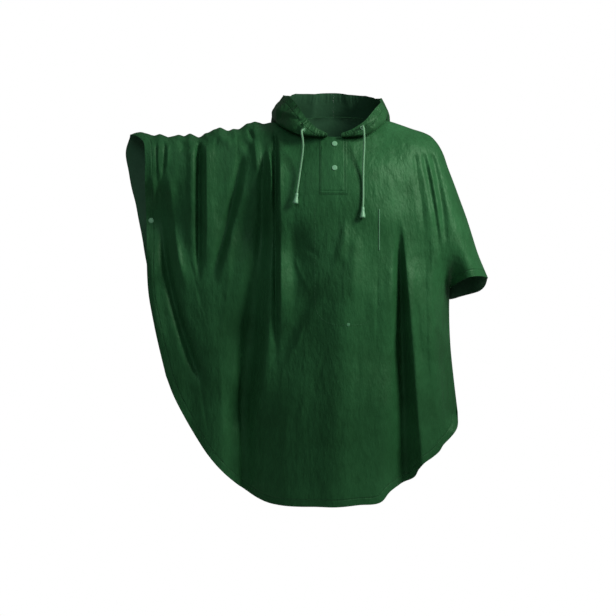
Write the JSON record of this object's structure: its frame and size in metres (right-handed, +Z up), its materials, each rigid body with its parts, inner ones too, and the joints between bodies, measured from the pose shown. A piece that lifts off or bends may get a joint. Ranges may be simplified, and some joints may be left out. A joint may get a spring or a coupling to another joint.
{
  "type": "rain poncho, worn with no wearer",
  "caption": "Hooded rain poncho in the hollow form of a wearer with one arm held out; sheds rain over the body and both arms.",
  "frame": {"origin": "middle of the neck opening, between the shoulders that hold the poncho up", "axes": "+Z up, +X to the wearer's left, the front faces -Y"},
  "size_m": [0.9448, 0.3732, 1.0771],
  "materials": {
    "cloth": "coated nylon, soft sheen",
    "snap": "moulded, satin",
    "cord": "braided cord and binding",
    "bell": "moulded, satin"
  },
  "bodies": {
    "root": {"front_panel": "cloth", "back_panel": "cloth", "hood_left": "cloth", "hood_right": "cloth", "placket": "cloth", "pocket_bag": "cloth", "placket_snap_upper": "snap", "placket_snap_lower": "snap", "pocket_rivet": "snap", "eyelet_left": "snap", "eyelet_right": "snap", "side_snap_right_front": "snap", "side_snap_right_back": "snap", "side_snap_left_back": "snap", "drawcord_left": "cord", "drawcord_right": "cord", "pocket_welt": "cord", "cord_bell_left": "bell", "cord_bell_right": "bell"}
  },
  "joints": []
}
